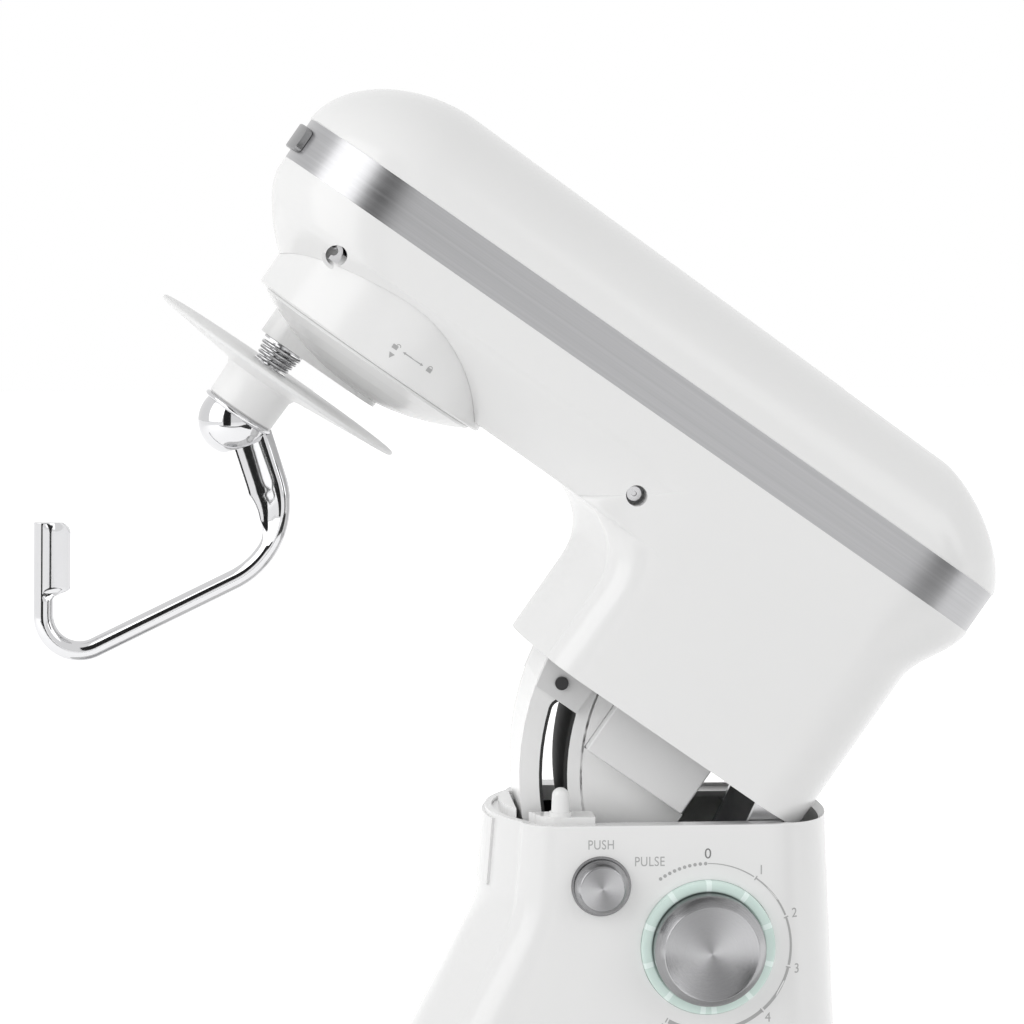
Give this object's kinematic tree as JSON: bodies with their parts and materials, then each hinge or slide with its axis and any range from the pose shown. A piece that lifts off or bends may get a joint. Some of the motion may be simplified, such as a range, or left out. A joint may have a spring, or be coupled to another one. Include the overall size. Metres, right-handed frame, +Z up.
{
  "type": "tilt-head stand mixer",
  "caption": "Tilt-head stand mixer with the head locked open, a spiral-arm dough hook with splash disc, and a round bowl seat in the base.",
  "frame": {"origin": "centre of the bounding box at the height of the table, under the feet", "axes": "+Z up; +X from the nose of the head to the back of the mixer; -Y towards the side with the dial and the push button"},
  "size_m": [0.4684, 0.224, 0.4979],
  "materials": {
    "white_enamel": "smooth white gloss paint",
    "white_plastic": "smooth white gloss",
    "grey_plastic": "satin light grey",
    "black_plastic": "satin black",
    "black_rubber": "matt black",
    "polished_metal": "polished",
    "brushed_band": "brushed lengthwise",
    "steel": "turned",
    "spring_steel": "drawn wire",
    "cast_alloy": "cast, satin silver",
    "lamination": "stacked sheet",
    "copper_winding": "lacquered wire",
    "gear_nylon": "moulded",
    "teal_ring": "dark ring with teal light segments",
    "green_board": "lacquered",
    "guard_plastic": "polished"
  },
  "bodies": {
    "stand": {"base_casting": "white_enamel", "base_cover": "grey_plastic", "feet": "black_rubber", "base_screws": "steel", "bowl_seat": "polished_metal", "cord_inlet": "black_plastic", "column_tray": "white_plastic", "front_trim": "white_plastic", "guide_post": "white_plastic", "hinge_bracket": "steel", "hinge_pin": "steel", "latch_guides": "black_plastic", "dial_light_ring": "teal_ring", "push_bezel": "polished_metal", "speed_switch": "black_plastic", "control_board": "green_board"},
    "dial": {"speed_dial": "polished_metal", "dial_shaft": "steel"},
    "button": {"push_button": "polished_metal"},
    "latch": {"latch_bar": "steel"},
    "head": {"head_lower_housing": "white_plastic", "head_top_cover": "white_plastic", "trim_band": "brushed_band", "badge_plate": "polished_metal", "hub_skirt": "white_plastic", "side_screws": "steel", "chassis": "cast_alloy", "gear_bridge": "cast_alloy", "shaft_bearings": "steel", "ring_gear": "gear_nylon", "drive_belt": "black_rubber", "motor_stator": "lamination", "motor_end_bells": "cast_alloy", "motor_brushes": "black_plastic", "motor_shroud": "grey_plastic", "tilt_arm": "white_plastic", "slot_liner": "black_plastic", "arm_bracket": "white_plastic", "arm_screws": "black_plastic"},
    "planet": {"planet_carrier": "cast_alloy", "carrier_shaft": "steel", "drive_gear": "gear_nylon"},
    "spindle": {"beater_shaft": "steel", "planet_pinion": "steel", "cross_pin": "steel", "shaft_spring": "spring_steel"},
    "hook": {"hook_hub": "polished_metal", "guard_disc": "guard_plastic", "dough_hook": "polished_metal"},
    "idler": {"idler_gear": "steel", "idler_pulley": "black_plastic"},
    "rotor": {"armature": "copper_winding", "motor_fan": "black_plastic", "motor_pulley": "steel"}
  },
  "joints": [
    {"name": "head_tilt", "type": "hinge", "parent": "stand", "child": "head", "pos_m": [0.13603, 0, 0.193], "axis": [0, -1, 0], "range_deg": [0, 35]},
    {"name": "planet_spin", "type": "hinge", "parent": "head", "child": "planet", "pos_m": [-0.0182, 0, 0.42307], "axis": [0.5736, 0, 0.8192], "continuous": true},
    {"name": "spindle_spin", "type": "hinge", "parent": "planet", "child": "spindle", "pos_m": [-0.08014, 0, 0.39319], "axis": [0.5736, 0, 0.8192], "continuous": true},
    {"name": "hook_lift", "type": "slide", "parent": "spindle", "child": "hook", "axis": [0.5736, 0, 0.8192], "range_m": [0, 0.006], "stiffness_N_per_m": 900, "springref_m": -0.008, "deforming": ["shaft_spring"]},
    {"name": "idler_spin", "type": "hinge", "parent": "head", "child": "idler", "pos_m": [0.02788, 0, 0.39081], "axis": [0.5736, 0, 0.8192], "continuous": true},
    {"name": "motor_spin", "type": "hinge", "parent": "head", "child": "rotor", "pos_m": [0.10408, 0, 0.23978], "axis": [0.5736, 0, 0.8192], "continuous": true},
    {"name": "dial_turn", "type": "hinge", "parent": "stand", "child": "dial", "pos_m": [0.09723, -0.066, 0.121], "axis": [0, 1, 0], "range_deg": [-42, 210]},
    {"name": "button_push", "type": "slide", "parent": "stand", "child": "button", "axis": [0, 1, 0], "range_m": [0, 0.005], "stiffness_N_per_m": 500, "springref_m": -0.004},
    {"name": "latch_slide", "type": "slide", "parent": "stand", "child": "latch", "axis": [1, 0, 0], "range_m": [-0.0015, 0]}
  ],
  "couplings": [
    {"joint": "spindle_spin", "follows": "planet_spin", "ratio": -5},
    {"joint": "idler_spin", "follows": "planet_spin", "ratio": -5.25},
    {"joint": "motor_spin", "follows": "planet_spin", "ratio": -18.136},
    {"joint": "latch_slide", "follows": "button_push", "ratio": -0.3}
  ]
}
